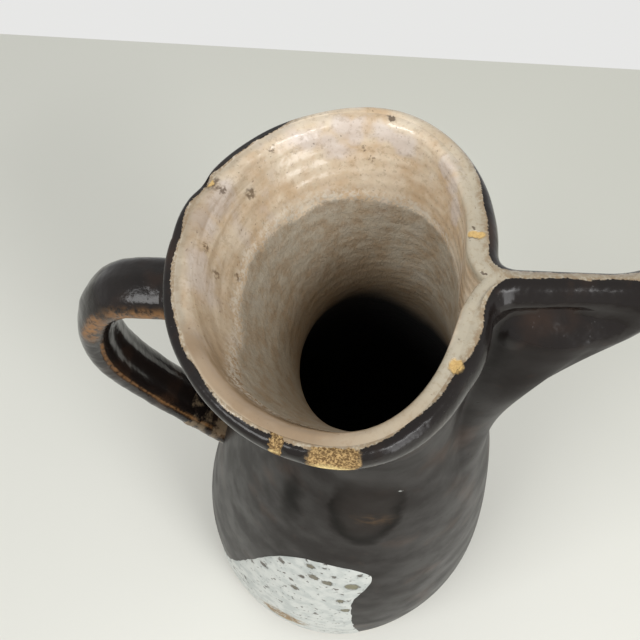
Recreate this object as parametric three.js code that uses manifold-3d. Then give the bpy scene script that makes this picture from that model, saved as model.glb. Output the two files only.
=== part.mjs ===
// Glazed earthenware jug: a thrown pot with a wide funnel mouth, a pinched beak spout and a pulled strap handle.
// Millimetres, +Z up. The origin is on the pot's axis where the flat foot rests, and the spout points along +X.

import * as THREE from 'three';
import { mergeVertices } from 'three/addons/utils/BufferGeometryUtils.js';
import Module from 'manifold-3d';

const wasm = await Module();
wasm.setup();

// Heights of the pot; the lip's own is over the axis, and from the rise's start up the pot slants up to the spout
const LIP_LEVEL = 251;
const LIP_RISE = 0.09;
const RISE_START_LEVEL = 175;
const RISE_END_DROP = 10;
const BELLY_LEVEL = 28;
const UPPER_BELLY_LEVEL = 72;
const SHOULDER_LEVEL = 140;
const THROAT_LEVEL = 200;
const SPOUT_START_LEVEL = 150;

// Outer radii of the thrown pot at those heights; the throat is a little wider across than along
const FOOT_RADIUS = 61.5;
const BELLY_RADIUS = 62.5;
const UPPER_BELLY_RADIUS = 60;
const SHOULDER_RADIUS = 46;
const THROAT_RADIUS = 28.5;
const THROAT_OVAL = 1.17;
const FOOT_ROUNDING = 3;

// Wall, floor and lip
const WALL = 5;
const FLOOR = 8;
const FLOOR_CORNER = 6;
const LIP_THICKNESS = 5.5;
const FRONT_LIP_THICKNESS = 6;
const FUNNEL_TOP_DROP = 13;
const LIP_ROLL = 1.5;
const LIP_ROUND_HEIGHT = 5.5;
const LIP_OUTER_ROUND = 3.6;
const LIP_INNER_ROUND = 2.8;

// Plan of the mouth: a half ellipse behind its centre, drawn in to a flat front
const MOUTH_CENTRE_X = -13.5;
const MOUTH_CENTRE_Y = 0.6;
const MOUTH_BACK = 42.5;
const MOUTH_HALF_WIDTH = 46.5;
const MOUTH_FRONT = 30.7;
const FRONT_FLATNESS = 0.63;
const SIDE_FLATNESS = 0.57;
const INNER_NOTCH = 4;

// Beak out of the middle of the front, its two lips pressed together in a seam that drifts to one side
const BEAK_LENGTH = 49.8;
const BEAK_TIP_HALF_WIDTH = 5.5;
const BEAK_ROOT_ROUNDING = 6.5;
const BEAK_SKEW = 0.12;
const SEAM_LENGTH = 24.8;
const SEAM_HALF_WIDTH = 2.2;
const SEAM_HEIGHT = 5;
const SPOUT_SWELL = 5;
const SWELL_MIDDLE_DROP = 24;

// Pouring channel under the seam, from the neck to the beak's tip
const CHANNEL_HALF_WIDTH = 5;
const CHANNEL_HALF_HEIGHT = 7;
const CHANNEL_TAPER = 0.65;
const CHANNEL_DEPTH = 44;

// How late the wall turns outward on its way up: the front later and more sharply than the sides
const FRONT_FLARE = 1.9;
const SIDE_FLARE = 1.4;

// Handle: a flattened roll of clay from under the lip to the shoulder
const STRAP_HALF_WIDTH = 8.6;
const STRAP_HALF_THICKNESS = 6.2;
const STRAP_WIDENING = 1.06;
const STRAP_THINNING = 0.8;
const HANDLE_TOP_DROP = 26;
const HANDLE_REACH = 27.5;
const HANDLE_BEND_HEIGHT = 40;
const HANDLE_BEND_POWER = 0.8;
const HANDLE_ROOT_LEVEL = 110;
const HANDLE_LEAN = 8;
const HANDLE_SKEW = 2;
const HANDLE_DRIFT = 5;
const LUTE_SPREAD = 3;

// Pale patch of another glaze, low on the belly
const PATCH_MIDDLE_ANGLE = -110;
const PATCH_HALF_ANGLE = 38;
const PATCH_BOTTOM = 7;
const PATCH_TOP = 132;

// Coats and clearances
const CLEARANCE = 0.3;
const GLAZE_COAT = 0.8;
const PATCH_COAT = 0.9;

// Fineness of the surfaces; the ring points crowd toward the beak's tip
const HALF_RING_STEPS = 32;
const RING_POINTS = 2 * HALF_RING_STEPS;
const TIP_CROWDING = 1.2;
const FRONT_SPREAD = 1.35;
const STRAP_SIDES = 14;
const STRAP_STEPS = 28;
const CHANNEL_STEPS = 16;

const CREAM = 0xe2cdb4;
const DARK_GLAZE = 0x1f1613;
const DARK_HANDLE = 0x241913;
const PATCH_WHITE = 0xd9dcda;

const mouthFrontX = MOUTH_CENTRE_X + MOUTH_FRONT;
const mouthBackX = MOUTH_CENTRE_X - MOUTH_BACK;
const seamEndX = mouthFrontX + SEAM_LENGTH;
const tipCentreX = mouthFrontX + BEAK_LENGTH - BEAK_TIP_HALF_WIDTH;

// The flat front's end, the side and the back of a half plan, carried on from the path's last point.
function roundToBack(path, frontX, halfWidth, backReach) {
  path.bezierCurveTo(
    frontX, FRONT_FLATNESS * halfWidth,
    THREE.MathUtils.lerp(MOUTH_CENTRE_X, frontX, SIDE_FLATNESS), halfWidth,
    MOUTH_CENTRE_X, halfWidth);
  path.absellipse(MOUTH_CENTRE_X, 0, backReach, halfWidth, Math.PI / 2, Math.PI, false, 0);
}

// How far the beak has drifted aside at this distance along the spout.
function beakDrift(x) {
  return BEAK_SKEW * Math.max(0, x - mouthFrontX);
}

// Half of the mouth's outer plan, from the beak's tip round to the back.
function outerMouthHalf() {
  const path = new THREE.Path();
  const bendX = (seamEndX + tipCentreX) / 2;
  path.moveTo(tipCentreX + BEAK_TIP_HALF_WIDTH, 0);
  path.absarc(tipCentreX, 0, BEAK_TIP_HALF_WIDTH, 0, Math.PI / 2, false);
  path.bezierCurveTo(bendX, BEAK_TIP_HALF_WIDTH, bendX, SEAM_HALF_WIDTH, seamEndX, SEAM_HALF_WIDTH);
  path.lineTo(mouthFrontX + BEAK_ROOT_ROUNDING, SEAM_HALF_WIDTH);
  path.quadraticCurveTo(mouthFrontX, SEAM_HALF_WIDTH, mouthFrontX, SEAM_HALF_WIDTH + BEAK_ROOT_ROUNDING);
  roundToBack(path, mouthFrontX, MOUTH_HALF_WIDTH, MOUTH_BACK);
  return path;
}

// The same for the inside of the mouth, whose front is a blunt V where the two lips are squeezed together.
function innerMouthHalf() {
  const path = new THREE.Path();
  const frontX = mouthFrontX - FRONT_LIP_THICKNESS;
  path.moveTo(frontX + INNER_NOTCH, 0);
  path.quadraticCurveTo(frontX, INNER_NOTCH, frontX, 2.5 * INNER_NOTCH);
  roundToBack(path, frontX, MOUTH_HALF_WIDTH - LIP_THICKNESS, MOUTH_BACK - LIP_THICKNESS);
  return path;
}

// Share of the half plan's length that lies before ring point i.
function alongPlan(i) {
  return Math.pow(i / HALF_RING_STEPS, TIP_CROWDING);
}

// A half plan and its mirror image as one closed ring, anticlockwise from the front.
function closedRing(path) {
  const ring = [];
  for (let i = 0; i < RING_POINTS; i += 1) {
    const mirrored = i > HALF_RING_STEPS;
    const p = path.getPointAt(alongPlan(mirrored ? RING_POINTS - i : i));
    p.y *= mirrored ? -1 : 1;
    p.y += MOUTH_CENTRE_Y * (1 - THREE.MathUtils.smoothstep(p.x, MOUTH_CENTRE_X, mouthFrontX)) + beakDrift(p.x);
    ring.push(p);
  }
  return ring;
}

const outerMouth = closedRing(outerMouthHalf());
const innerMouth = closedRing(innerMouthHalf());

// Angle round the axis that goes with a ring point: the beak takes up less of the round pot than of its own outline.
function ringAngle(i) {
  const mirrored = i > HALF_RING_STEPS;
  const angle = Math.PI * Math.pow(alongPlan(mirrored ? RING_POINTS - i : i), FRONT_SPREAD);
  return mirrored ? 2 * Math.PI - angle : angle;
}

// Outer outline of the round pot, from the foot up, and its radius at a height.
const potProfile = new THREE.SplineCurve([
  new THREE.Vector2(FOOT_RADIUS, 0),
  new THREE.Vector2(BELLY_RADIUS, BELLY_LEVEL),
  new THREE.Vector2(UPPER_BELLY_RADIUS, UPPER_BELLY_LEVEL),
  new THREE.Vector2(SHOULDER_RADIUS, SHOULDER_LEVEL),
  new THREE.Vector2(THROAT_RADIUS, THROAT_LEVEL),
  new THREE.Vector2(THROAT_RADIUS, LIP_LEVEL),
]);

function potRadius(level) {
  let low = 0;
  let high = 1;
  for (let i = 0; i < 30; i += 1) {
    const middle = (low + high) / 2;
    if (potProfile.getPoint(middle).y < level) {
      low = middle;
    } else {
      high = middle;
    }
  }
  return potProfile.getPoint(low).x;
}

// How far the wall has turned from the round neck to the mouth's plan; the front starts to turn lower down.
function mouthShare(level, angle) {
  const awayFromFront = Math.min(angle, 2 * Math.PI - angle);
  const side = THREE.MathUtils.smoothstep(awayFromFront, 0.2, 1.5);
  const start = THREE.MathUtils.lerp(SPOUT_START_LEVEL, THROAT_LEVEL - 8, side);
  const t = THREE.MathUtils.clamp((level - start) / (LIP_LEVEL - start), 0, 1);
  return Math.pow(t, THREE.MathUtils.lerp(FRONT_FLARE, SIDE_FLARE, side));
}

// How far the walls of the beak stand out round the channel: none at the seam, the keel and the beak's root.
function spoutSwell(level, p) {
  const along = THREE.MathUtils.clamp((p.x - mouthFrontX) / (tipCentreX - mouthFrontX), 0, 1);
  const below = THREE.MathUtils.smoothstep(level, SPOUT_START_LEVEL, LIP_LEVEL - SWELL_MIDDLE_DROP);
  const above = 1 - THREE.MathUtils.smoothstep(level, LIP_LEVEL - 3 * SEAM_HEIGHT, LIP_LEVEL - SEAM_HEIGHT);
  return SPOUT_SWELL * Math.sqrt(Math.sin(Math.PI * along)) * below * above;
}

// One level of the pot: round below, the mouth's plan above, then moved out along its normals.
function potRing(mouth, level, inset, outset) {
  const ring = [];
  const radius = potRadius(Math.min(level, LIP_LEVEL)) - inset;
  const oval = THREE.MathUtils.lerp(1, THROAT_OVAL, THREE.MathUtils.smoothstep(level, SHOULDER_LEVEL, THROAT_LEVEL));
  for (let i = 0; i < RING_POINTS; i += 1) {
    const angle = ringAngle(i);
    const share = mouthShare(Math.min(level, LIP_LEVEL), angle);
    const round = new THREE.Vector2(Math.cos(angle) * radius, Math.sin(angle) * radius * oval);
    ring.push(round.lerp(mouth[i], share));
  }
  const rise = LIP_RISE * THREE.MathUtils.smoothstep(level, RISE_START_LEVEL, LIP_LEVEL - RISE_END_DROP);
  return ring.map((p, i) => {
    const before = ring[(i + RING_POINTS - 1) % RING_POINTS];
    const after = ring[(i + 1) % RING_POINTS];
    const normal = new THREE.Vector2(after.y - before.y, before.x - after.x).normalize();
    const move = outset + (mouth === outerMouth ? spoutSwell(level, mouth[i]) : 0);
    return new THREE.Vector3(p.x + normal.x * move, p.y + normal.y * move, level + rise * p.x);
  });
}

// A closed skin over a stack of rings, with a fan over each end.
function loft(rings) {
  const count = rings[0].length;
  const positions = [];
  for (const ring of rings) {
    for (const p of ring) {
      positions.push(p.x, p.y, p.z);
    }
  }
  for (const ring of [rings[0], rings[rings.length - 1]]) {
    const middle = ring.reduce((sum, p) => sum.add(p), new THREE.Vector3()).divideScalar(count);
    positions.push(middle.x, middle.y, middle.z);
  }
  const bottomMiddle = rings.length * count;
  const faces = [];
  for (let j = 0; j < rings.length - 1; j += 1) {
    for (let i = 0; i < count; i += 1) {
      const a = j * count + i;
      const b = j * count + (i + 1) % count;
      faces.push(a, b, b + count, a, b + count, a + count);
    }
  }
  const top = (rings.length - 1) * count;
  for (let i = 0; i < count; i += 1) {
    const next = (i + 1) % count;
    faces.push(bottomMiddle, next, i, bottomMiddle + 1, top + i, top + next);
  }
  const geometry = new THREE.BufferGeometry();
  geometry.setAttribute('position', new THREE.Float32BufferAttribute(positions, 3));
  geometry.setIndex(faces);
  return geometry;
}

function solidOf(geometry) {
  const bare = geometry.clone();
  bare.deleteAttribute('normal');
  bare.deleteAttribute('uv');
  const merged = mergeVertices(bare, 1e-4);
  const vertProperties = new Float32Array(merged.attributes.position.array);
  const triVerts = new Uint32Array(merged.index.array);
  return new wasm.Manifold(new wasm.Mesh({ numProp: 3, vertProperties, triVerts }));
}

function geometryOf(solid) {
  const mesh = solid.getMesh();
  const geometry = new THREE.BufferGeometry();
  geometry.setAttribute('position', new THREE.BufferAttribute(new Float32Array(mesh.vertProperties), 3));
  geometry.setIndex(new THREE.BufferAttribute(new Uint32Array(mesh.triVerts), 1));
  geometry.computeVertexNormals();
  return geometry;
}

// Levels at which both faces of the wall have a ring: belly, shoulder, neck, and the funnel up to the lip's roll.
function wallLevels() {
  const top = LIP_LEVEL - FUNNEL_TOP_DROP;
  const levels = [];
  for (const [from, to, steps] of [
    [BELLY_LEVEL, UPPER_BELLY_LEVEL, 2],
    [UPPER_BELLY_LEVEL, SHOULDER_LEVEL, 3],
    [SHOULDER_LEVEL, THROAT_LEVEL, 4],
    [THROAT_LEVEL, top, 3],
  ]) {
    for (let i = 0; i < steps; i += 1) {
      levels.push(THREE.MathUtils.lerp(from, to, i / steps));
    }
  }
  return [...levels, top];
}

// A quarter round at the lip's edge, as pairs of the height left to the top and the way it has drawn in.
function edgeRound(depth) {
  const pairs = [];
  for (let k = 0; k <= 3; k += 1) {
    const angle = (Math.PI / 2) * (k / 3);
    pairs.push([LIP_ROUND_HEIGHT * (1 - Math.sin(angle)), depth * (1 - Math.cos(angle))]);
  }
  return pairs;
}

// Outside of the pot, grown by a clearance where a neighbour is cut to fit it.
function potOutside(grow) {
  const footEdge = 0.3 * FOOT_ROUNDING;
  const rings = [
    potRing(outerMouth, 0, FOOT_ROUNDING, grow),
    potRing(outerMouth, footEdge, footEdge, grow),
  ];
  rings[0].forEach((p) => { p.z -= grow; });
  for (const level of [FOOT_ROUNDING, ...wallLevels()]) {
    rings.push(potRing(outerMouth, level, 0, grow));
  }
  rings.push(potRing(outerMouth, LIP_LEVEL - 1.6 * LIP_ROUND_HEIGHT, 0, 0.5 * LIP_ROLL + grow));
  for (const [drop, drawnIn] of edgeRound(LIP_OUTER_ROUND)) {
    rings.push(potRing(outerMouth, LIP_LEVEL - drop, 0, LIP_ROLL - drawnIn + grow));
  }
  rings[rings.length - 1].forEach((p) => { p.z += grow; });
  return solidOf(loft(rings));
}

// Hollow of the pot, drawn in where a coat lies on the wall, and running out over the lip by a headroom.
function potHollow(draw, headroom) {
  const rings = [potRing(innerMouth, FLOOR, WALL + FLOOR_CORNER, -draw)];
  rings[0].forEach((p) => { p.z += draw; });
  for (const level of [FLOOR + FLOOR_CORNER, ...wallLevels()]) {
    rings.push(potRing(innerMouth, level, WALL, -draw));
  }
  for (const [drop, flare] of edgeRound(LIP_INNER_ROUND)) {
    rings.push(potRing(innerMouth, LIP_LEVEL - drop, WALL, flare - draw));
  }
  rings.push(potRing(innerMouth, LIP_LEVEL + headroom, WALL, LIP_INNER_ROUND - draw));
  return solidOf(loft(rings));
}

// A tube of elliptical section along a curve in the plane of the spout and the handle.
function sweep(curve, steps, sides, sectionAt) {
  const rings = [];
  const across = new THREE.Vector3(0, 1, 0);
  for (let j = 0; j <= steps; j += 1) {
    const t = j / steps;
    const centre = curve.getPointAt(t);
    const out = new THREE.Vector3().crossVectors(across, curve.getTangentAt(t)).normalize();
    const [halfWidth, halfThickness] = sectionAt(t);
    const ring = [];
    for (let i = 0; i < sides; i += 1) {
      const angle = (2 * Math.PI * i) / sides;
      const p = centre.clone();
      p.addScaledVector(out, Math.cos(angle) * halfThickness);
      p.addScaledVector(across, Math.sin(angle) * halfWidth);
      ring.push(p);
    }
    rings.push(ring);
  }
  return solidOf(loft(rings));
}

// Channel from the neck, under the seam, and up to the small pouring mouth at the beak's tip.
function channelSolid(grow) {
  const lipAtTip = LIP_LEVEL + LIP_RISE * tipCentreX;
  const route = new THREE.CatmullRomCurve3([
    [mouthFrontX - 2.6 * WALL, LIP_LEVEL - 1.25 * CHANNEL_DEPTH],
    [mouthFrontX + WALL, LIP_LEVEL - CHANNEL_DEPTH],
    [seamEndX - WALL, LIP_LEVEL - 0.45 * CHANNEL_DEPTH],
    [tipCentreX - 1.7 * CHANNEL_HALF_HEIGHT, LIP_LEVEL - 0.15 * CHANNEL_DEPTH],
    [tipCentreX - 1, lipAtTip + CHANNEL_HALF_HEIGHT],
  ].map(([x, z]) => new THREE.Vector3(x, beakDrift(x), z)));
  return sweep(route, CHANNEL_STEPS, STRAP_SIDES, (t) => {
    const size = THREE.MathUtils.lerp(1, CHANNEL_TAPER, t);
    return [CHANNEL_HALF_WIDTH * size + grow, CHANNEL_HALF_HEIGHT * size + grow];
  });
}

// X of the pot's outer wall at the back, where the handle meets it.
function backWallX(level) {
  return potRing(outerMouth, level, 0, 0)[HALF_RING_STEPS].x;
}

const handleTop = LIP_LEVEL - HANDLE_TOP_DROP;
const handleBackX = mouthBackX - HANDLE_REACH;
const topWallX = backWallX(handleTop);
const rootWallX = backWallX(HANDLE_ROOT_LEVEL);

// Middle line of the strap: out from under the lip, round a bend, and leaning in and drifting aside down to the
// shoulder.
function handleLine() {
  const points = [new THREE.Vector3(topWallX + WALL, 0, handleTop)];
  for (let k = 0; k <= 3; k += 1) {
    const angle = (Math.PI / 2) * (k / 3);
    const out = Math.pow(Math.sin(angle), HANDLE_BEND_POWER);
    const up = Math.pow(Math.max(Math.cos(angle), 0), HANDLE_BEND_POWER);
    points.push(new THREE.Vector3(mouthBackX - HANDLE_REACH * out, 0, handleTop - HANDLE_BEND_HEIGHT * (1 - up)));
  }
  points.push(
    new THREE.Vector3(handleBackX + HANDLE_LEAN, 0.6 * HANDLE_DRIFT, HANDLE_ROOT_LEVEL + HANDLE_BEND_HEIGHT),
    new THREE.Vector3(rootWallX - STRAP_HALF_THICKNESS, HANDLE_DRIFT, HANDLE_ROOT_LEVEL + STRAP_HALF_WIDTH),
    new THREE.Vector3(rootWallX + 2 * WALL, HANDLE_DRIFT, HANDLE_ROOT_LEVEL - WALL));
  return new THREE.CatmullRomCurve3(points, false, 'centripetal');
}

function strapSolid(grow) {
  return sweep(handleLine(), STRAP_STEPS, STRAP_SIDES, (t) => {
    const down = THREE.MathUtils.smoothstep(t, 0.1, 0.6);
    const halfWidth = STRAP_HALF_WIDTH * THREE.MathUtils.lerp(1, STRAP_WIDENING, down);
    const halfThickness = STRAP_HALF_THICKNESS * THREE.MathUtils.lerp(1, STRAP_THINNING, down);
    return [halfWidth + grow, halfThickness + grow];
  }).rotate([0, 0, HANDLE_SKEW]);
}

// A pad of clay pressed over an end of the strap, set against the pot's wall.
function lute(x, y, z, halfLength, halfWidth, halfHeight, tilt) {
  const ball = new THREE.SphereGeometry(1, 16, 10);
  ball.scale(halfLength, halfWidth, halfHeight);
  ball.rotateY(tilt);
  ball.translate(x, y, z);
  return solidOf(ball).subtract(potOutside(CLEARANCE)).subtract(strapSolid(CLEARANCE));
}

function topLute() {
  const length = 2 * STRAP_HALF_THICKNESS;
  const x = topWallX - 0.65 * length;
  const height = STRAP_HALF_THICKNESS + LUTE_SPREAD;
  return lute(x, 0, handleTop - LUTE_SPREAD, length, STRAP_HALF_WIDTH + LUTE_SPREAD, height, 0.5);
}

function rootLute() {
  const height = 2 * STRAP_HALF_THICKNESS + LUTE_SPREAD;
  const y = 0.5 * HANDLE_DRIFT;
  return lute(rootWallX, y, HANDLE_ROOT_LEVEL, STRAP_HALF_THICKNESS, STRAP_HALF_WIDTH + LUTE_SPREAD, height, 0.3);
}

// Ragged outline of the patch: shares of its half angle and of its height, from the bottom left round.
const patchOutline = [
  [-1, 0.03], [-1, 0.1], [-0.93, 0.19], [-0.79, 0.31], [-0.58, 0.5], [-0.33, 0.73], [-0.1, 0.9], [0.12, 0.98],
  [0.34, 1], [0.54, 0.99], [0.68, 0.95], [0.72, 0.88], [0.69, 0.8], [0.67, 0.73], [0.71, 0.64], [0.79, 0.5],
  [0.92, 0.28], [0.99, 0.12], [1, 0.02], [0.5, 0], [0, 0.02], [-0.5, 0],
];

// The patch: a thin coat on the pot inside that outline.
function patchSolid() {
  const points = patchOutline.map(([angle, height]) => {
    const turn = THREE.MathUtils.degToRad(angle * PATCH_HALF_ANGLE);
    return new THREE.Vector2(BELLY_RADIUS * Math.sin(turn), THREE.MathUtils.lerp(PATCH_BOTTOM, PATCH_TOP, height));
  });
  const shape = new THREE.Shape();
  shape.moveTo(points[0].x, points[0].y);
  shape.splineThru(points.slice(1));
  shape.closePath();
  const prism = new THREE.ExtrudeGeometry(shape, { depth: 2 * BELLY_RADIUS, bevelEnabled: false, curveSegments: 2 });
  const middle = THREE.MathUtils.degToRad(PATCH_MIDDLE_ANGLE);
  const outward = new THREE.Vector3(Math.cos(middle), Math.sin(middle), 0);
  const tangent = new THREE.Vector3(-outward.y, outward.x, 0);
  prism.applyMatrix4(new THREE.Matrix4().makeBasis(tangent, new THREE.Vector3(0, 0, 1), outward));
  const coat = potOutside(CLEARANCE + PATCH_COAT).subtract(potOutside(CLEARANCE));
  return coat.intersect(solidOf(prism));
}

function potSolid() {
  return potOutside(0).subtract(potHollow(0, LIP_THICKNESS)).subtract(channelSolid(0));
}

// The pale glaze inside, from the floor to just over the lip's crest.
function liningSolid() {
  const outer = potHollow(CLEARANCE, 0.5 * GLAZE_COAT);
  const inner = potHollow(CLEARANCE + GLAZE_COAT, LIP_THICKNESS);
  return outer.subtract(inner).subtract(channelSolid(CLEARANCE));
}

function piece(name, solid, color, roughness) {
  const mesh = new THREE.Mesh(geometryOf(solid), new THREE.MeshStandardMaterial({ color, roughness, metalness: 0 }));
  mesh.name = name;
  return mesh;
}

const jug = new THREE.Group();
jug.add(piece('pot', potSolid(), DARK_GLAZE, 0.2));
jug.add(piece('cream_lining', liningSolid(), CREAM, 0.25));
jug.add(piece('white_patch', patchSolid(), PATCH_WHITE, 0.45));
jug.add(piece('handle_strap', strapSolid(0).subtract(potOutside(CLEARANCE)), DARK_HANDLE, 0.25));
jug.add(piece('handle_top_lute', topLute(), DARK_HANDLE, 0.3));
jug.add(piece('handle_root_lute', rootLute(), DARK_HANDLE, 0.3));

export default jug;
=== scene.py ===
import math

import bmesh
import bpy
import numpy as np
from mathutils import Matrix, Vector, geometry, noise


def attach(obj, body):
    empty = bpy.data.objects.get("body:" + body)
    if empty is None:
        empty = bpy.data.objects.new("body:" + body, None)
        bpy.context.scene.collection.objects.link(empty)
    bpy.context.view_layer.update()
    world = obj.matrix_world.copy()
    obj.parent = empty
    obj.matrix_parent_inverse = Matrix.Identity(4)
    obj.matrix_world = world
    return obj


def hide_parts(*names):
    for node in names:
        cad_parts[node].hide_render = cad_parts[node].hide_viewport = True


# Looks of the glazed earthenware jug: finer skins over its solids, and their glazes.
# Lengths are millimetres in the jug's own frame, and MM turns them to metres as a mesh is finished.
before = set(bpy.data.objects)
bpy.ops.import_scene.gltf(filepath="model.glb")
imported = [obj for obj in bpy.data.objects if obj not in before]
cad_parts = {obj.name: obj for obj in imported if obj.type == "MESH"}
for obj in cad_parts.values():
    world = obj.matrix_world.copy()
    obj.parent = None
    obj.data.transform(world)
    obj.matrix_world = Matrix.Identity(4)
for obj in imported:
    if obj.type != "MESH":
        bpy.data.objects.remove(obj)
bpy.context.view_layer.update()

MM = 0.001

# Heights of the pot; above RISE_START the pot slants up toward the spout
LIP_LEVEL = 251
LIP_RISE = 0.09
RISE_START = 175
RISE_END = LIP_LEVEL - 10
BELLY_LEVEL = 28
UPPER_BELLY_LEVEL = 72
SHOULDER_LEVEL = 140
THROAT_LEVEL = 200
SPOUT_START = 150

# Outer radii at those heights
FOOT_RADIUS = 61.5
BELLY_RADIUS = 62.5
UPPER_BELLY_RADIUS = 60
SHOULDER_RADIUS = 46
THROAT_RADIUS = 28.5
THROAT_OVAL = 1.17
FOOT_ROUNDING = 3

# Wall, floor and lip
WALL = 5
FLOOR = 8
FLOOR_CORNER = 6
LIP_THICKNESS = 5.5
FRONT_LIP_THICKNESS = 6
FUNNEL_TOP_DROP = 13
LIP_ROLL = 1.5
LIP_ROUND_HEIGHT = 5.5
LIP_OUTER_ROUND = 3.6
LIP_INNER_ROUND = 2.8

# Plan of the mouth and the beak
MOUTH_CENTRE = Vector((-13.5, 0.6))
MOUTH_BACK = 42.5
MOUTH_HALF_WIDTH = 46.5
MOUTH_FRONT_X = 17.2
FRONT_FLATNESS = 0.63
SIDE_FLATNESS = 0.57
INNER_NOTCH = 4
SEAM_END_X = 42
SEAM_HALF_WIDTH = 2.2
BEAK_ROOT_ROUNDING = 6.5
BEAK_SKEW = 0.12
TIP_CENTRE_X = 61.3
TIP_HALF_WIDTH = 5.5
FRONT_FLARE = 1.9
SIDE_FLARE = 1.4
FRONT_ANGLES = (0.2, 1.5)
SIDE_FLARE_START = THROAT_LEVEL - 8

# Swell of the beak's walls and groove under its seam: size, and the ranges in which each comes and goes
SPOUT_SWELL = 6.4
SWELL_SHARPNESS = 0.75
SWELL_START_X = 20.5
SWELL_BELOW = (SPOUT_START, LIP_LEVEL - 24)
SWELL_ABOVE = (LIP_LEVEL - 14, LIP_LEVEL - 6)
SEAM_GROOVE = 1.5
GROOVE_BELOW = (LIP_LEVEL - 14, LIP_LEVEL - 8)
GROOVE_ABOVE = (LIP_LEVEL - 7, LIP_LEVEL - 4)
GROOVE_START = (MOUTH_FRONT_X + 1, MOUTH_FRONT_X + 7)
GROOVE_END = (SEAM_END_X - 6, SEAM_END_X + 2)

# Pouring channel
CHANNEL_HALF_WIDTH = 5
CHANNEL_HALF_HEIGHT = 7
CHANNEL_TAPER = 0.65
CHANNEL_DEPTH = 44
CHANNEL_SECTIONS = 48
CHANNEL_SIDES = 40

# Handle
STRAP_HALF_WIDTH = 8.6
STRAP_HALF_THICKNESS = 6.2
STRAP_WIDENING = 1.06
STRAP_THINNING = 0.8
STRAP_SHAPED = (0.1, 0.6)
HANDLE_TOP = LIP_LEVEL - 26
HANDLE_REACH = 27.5
HANDLE_BEND_HEIGHT = 40
HANDLE_BEND_POWER = 0.8
HANDLE_ROOT = 110
HANDLE_LEAN = 8
HANDLE_SKEW = math.radians(2)
HANDLE_DRIFT = 5
MOUTH_BACK_X = MOUTH_CENTRE.x - MOUTH_BACK
STRAP_SECTIONS = 190
STRAP_SIDES = 72
STRAP_TRIM = 0.15
STRAP_LUMPS = 0.3
LUTE_LUMPS = 0.45

# Pads of clay at the strap's ends: from and to along it, and how far they spread at the wall
TOP_LUTE = (0.0, 0.15, 3.6)
ROOT_LUTE = (1.0, 0.79, 4.2)
LUTE_FALL = 2.2
LUTE_OVER_STRAP = 0.12
LUTE_END = (0.86, 1)
LUTE_END_DEPTH = 0.7
LUTE_SECTIONS = 40

# Patch of pale glaze
PATCH_MIDDLE_ANGLE = math.radians(-110)
PATCH_HALF_ANGLE = math.radians(38)
PATCH_BOTTOM = 7
PATCH_TOP = 132

# Fineness of the skins
HALF_RING = 180
RING_POINTS = 2 * HALF_RING
TIP_CROWDING = 1.2
FRONT_SPREAD = 1.35
BURIED = 1.0
PROFILE_STEPS = 60
FINE_STEP = 3
COARSE_STEP = 8
CUTTER_STEP = 9
FOOT_LEVELS = (FOOT_ROUNDING, 10, 18)
INNER_LIP_LEVELS = (LIP_LEVEL - 10, LIP_LEVEL - 7.5)

# The lip's roll below its round: how far down it is, and how far out it stands there
ROLL_ON_THE_WAY_UP = [(11, 0.15), (10, 0.4), (LIP_ROUND_HEIGHT * 1.6, 0.75), (7, 1.25)]

# Lining: its face's depth off the wall in the pot and at the lip, its back's, and its round at the crest
LINING_DEPTH = 1.1
LINING_LIP_DEPTH = 0.5
LINING_BACK = 0.3
LINING_ROUND = 1.5
LINING_OVER_CREST = 0.06
LINING_THINS = (LIP_LEVEL - 16, LIP_LEVEL - 6)
LIP_ROUND_STEPS = 10

# How the lining laps over the lip's crest: height over the lip, and reach outward
LINING_LAP = [(0.04, 1.6), (0, 2.1), (-0.08, 2.5), (-2, 2.2)]


def lerp(a, b, t):
    return a + (b - a) * t


def smoothstep(value, low, high):
    t = min(max((value - low) / (high - low), 0), 1)
    return t * t * (3 - 2 * t)


def band(value, start, end):
    """0 beyond two ranges and 1 between them, rising within the first and falling within the second."""
    return smoothstep(value, *start) * (1 - smoothstep(value, *end))


# Curves

def cubic(a, b, start, end, steps):
    """Points of a cubic curve from a toward b, which it leaves and reaches in these directions."""
    line = []
    for k in range(steps):
        t = k / steps
        rest = (3 * (b - a) - 2 * start - end) * t ** 2 + (2 * (a - b) + start + end) * t ** 3
        line.append(a + start * t + rest)
    return line


def evenly(points, shares):
    """Points of a polyline at these shares of its length."""
    points = np.asarray(points, float)
    steps = np.linalg.norm(np.diff(points, axis=0), axis=1)
    along = np.concatenate([[0], np.cumsum(steps)])
    wanted = np.asarray(shares) * along[-1]
    return np.stack([np.interp(wanted, along, points[:, k]) for k in range(points.shape[1])], axis=1)


def bezier(*corners):
    """A cubic curve's points; a quadratic one is given by three corners."""
    if len(corners) == 3:
        first, middle, last = (Vector(c) for c in corners)
        corners = (first, first.lerp(middle, 2 / 3), last.lerp(middle, 2 / 3), last)
    curve = geometry.interpolate_bezier(*(Vector(c).to_2d() for c in corners), 40)
    return [tuple(p) for p in curve]


def arc(centre, radii, start, end):
    angles = np.radians(np.linspace(start, end, 90))
    return [(centre[0] + radii[0] * math.cos(a), centre[1] + radii[1] * math.sin(a)) for a in angles]


def smooth_line(knots, steps=30):
    """A centripetal curve through knots, run on straight past both ends."""
    knots = [Vector(k) for k in knots]
    knots = [2 * knots[0] - knots[1], *knots, 2 * knots[-1] - knots[-2]]
    line = []
    for a, b, c, d in zip(knots, knots[1:], knots[2:], knots[3:]):
        before, between, after = ((q - p).length ** 0.5 for p, q in ((a, b), (b, c), (c, d)))
        start = ((b - a) / before - (c - a) / (before + between) + (c - b) / between) * between
        end = ((c - b) / between - (d - b) / (between + after) + (d - c) / after) * between
        line += [tuple(p) for p in cubic(b, c, start, end, steps)]
    return [*line, tuple(knots[-2])]


# The pot's form

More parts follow.
